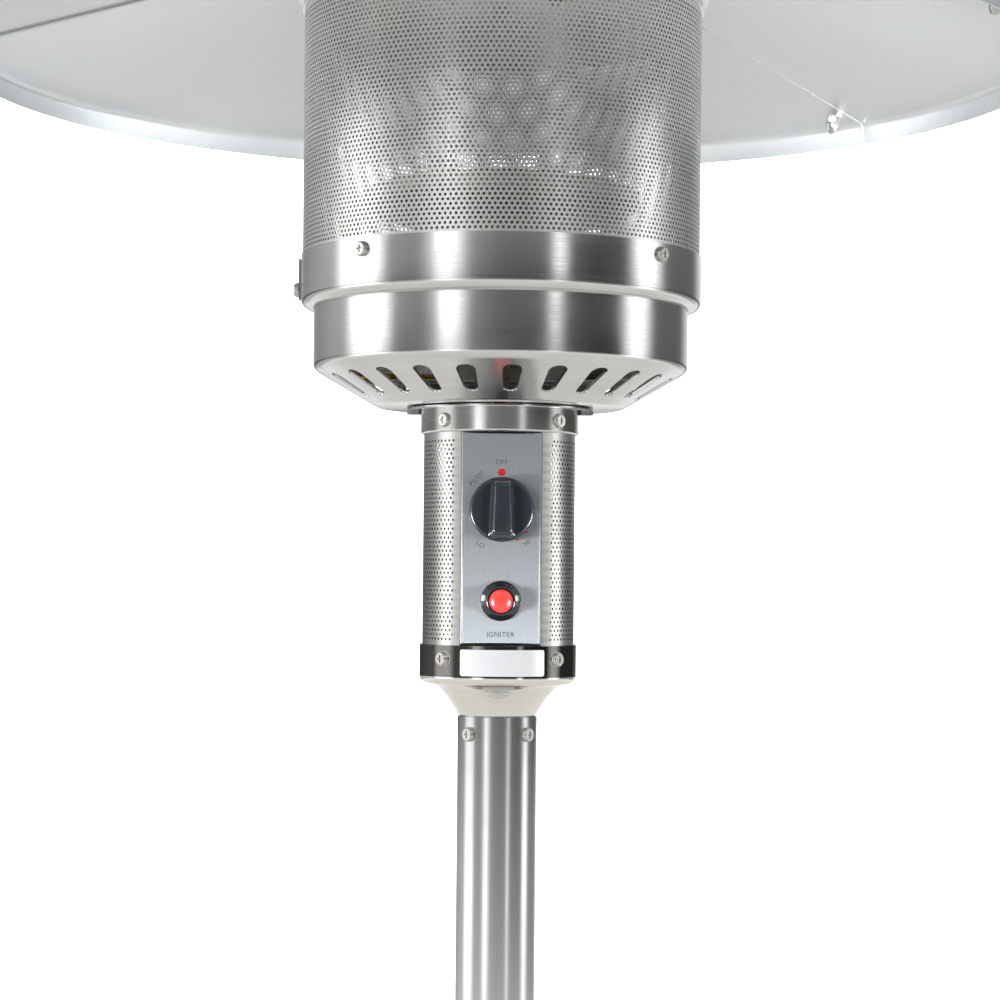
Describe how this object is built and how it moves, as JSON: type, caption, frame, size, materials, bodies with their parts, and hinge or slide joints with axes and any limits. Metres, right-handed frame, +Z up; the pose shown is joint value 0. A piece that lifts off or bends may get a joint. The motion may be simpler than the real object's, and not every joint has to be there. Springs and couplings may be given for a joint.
{
  "type": "patio heater",
  "caption": "Floor-standing gas patio heater: mushroom reflector over a perforated burner screen, control column with knob and igniter, post, tank housing and wheeled base.",
  "frame": {"origin": "centre of the base on the floor, on the post's axis", "axes": "+Z up along the post; the control panel faces -Y and the wheels are at the back, +Y"},
  "size_m": [0.8144, 0.813, 2.207],
  "materials": {
    "polished_steel": "polished stainless sheet",
    "brushed_panel": "brushed stainless sheet",
    "perforated_steel": "perforated stainless sheet",
    "burner_steel": "heat-dulled stainless sheet",
    "zinc_steel": "zinc-plated steel",
    "fasteners": "bright zinc-plated steel",
    "bracket_paint": "powder-coated steel",
    "wheel_plastic": "moulded plastic",
    "tyre_rubber": "matt rubber",
    "valve_brass": "machined brass",
    "stem_steel": "turned steel",
    "knob_plastic": "glossy moulded plastic",
    "bezel_plastic": "glossy moulded plastic",
    "button_plastic": "glossy red plastic",
    "inner_plastic": "moulded plastic",
    "electrode_ceramic": "glazed ceramic",
    "reflector_aluminium": "satin rolled sheet"
  },
  "bodies": {
    "heater": {"base_pan": "polished_steel", "post": "polished_steel", "lower_collar": "polished_steel", "upper_collar": "polished_steel", "burner_housing": "polished_steel", "trim_band": "polished_steel", "control_panel": "brushed_panel", "control_shell": "perforated_steel", "emitter_screen": "perforated_steel", "screen_cap": "burner_steel", "burner_tube": "burner_steel", "burner_head": "burner_steel", "support_leg_1": "zinc_steel", "support_leg_2": "zinc_steel", "support_leg_3": "zinc_steel", "post_flange": "zinc_steel", "post_insert": "zinc_steel", "valve_bracket": "zinc_steel", "pilot_bracket": "zinc_steel", "reflector_hub": "zinc_steel", "wheel_axle": "zinc_steel", "band_clip": "zinc_steel", "base_bolts": "fasteners", "post_screws": "fasteners", "collar_screws": "fasteners", "burner_bolts": "fasteners", "seam_bolts": "fasteners", "reflector_studs": "fasteners", "igniter_nut": "fasteners", "wheel_bracket": "bracket_paint", "axle_caps": "wheel_plastic", "gas_valve": "valve_brass", "gas_inlet_fitting": "valve_brass", "gas_supply_tube": "valve_brass", "gas_jet": "valve_brass", "pilot_burner": "valve_brass", "pilot_tube": "valve_brass", "thermocouple": "valve_brass", "igniter_bezel": "bezel_plastic", "igniter_body": "inner_plastic", "tilt_switch": "inner_plastic", "ignition_electrode": "electrode_ceramic", "reflector_panel_1": "reflector_aluminium", "reflector_panel_2": "reflector_aluminium", "reflector_panel_3": "reflector_aluminium", "reflector_panel_4": "reflector_aluminium", "reflector_panel_5": "reflector_aluminium", "reflector_cap": "reflector_aluminium"},
    "housing": {"tank_housing": "polished_steel", "housing_lid": "polished_steel", "lid_screws": "fasteners"},
    "wheel_left": {"wheel_left": "wheel_plastic", "tyre_left": "tyre_rubber"},
    "wheel_right": {"wheel_right": "wheel_plastic", "tyre_right": "tyre_rubber"},
    "valve_rotor": {"valve_rotor": "valve_brass"},
    "knob": {"control_knob": "knob_plastic", "valve_stem": "stem_steel"},
    "igniter_button": {"igniter_button": "button_plastic"}
  },
  "joints": [
    {"name": "housing_lift", "type": "slide", "parent": "heater", "child": "housing", "axis": [0, 0, 1], "range_m": [0, 0.45]},
    {"name": "wheel_left_spin", "type": "hinge", "parent": "heater", "child": "wheel_left", "pos_m": [-0.085, 0.28509, 0.062], "axis": [1, 0, 0], "continuous": true},
    {"name": "wheel_right_spin", "type": "hinge", "parent": "heater", "child": "wheel_right", "pos_m": [0.085, 0.28509, 0.062], "axis": [1, 0, 0], "continuous": true},
    {"name": "knob_turn", "type": "hinge", "parent": "heater", "child": "valve_rotor", "pos_m": [0, -0.05, 1.743], "axis": [0, -1, 0], "range_deg": [0, 215]},
    {"name": "knob_push", "type": "slide", "parent": "valve_rotor", "child": "knob", "axis": [0, 1, 0], "range_m": [0, 0.004], "stiffness_N_per_m": 800},
    {"name": "igniter_press", "type": "slide", "parent": "heater", "child": "igniter_button", "axis": [0, 1, 0], "range_m": [0, 0.006], "stiffness_N_per_m": 1200}
  ]
}
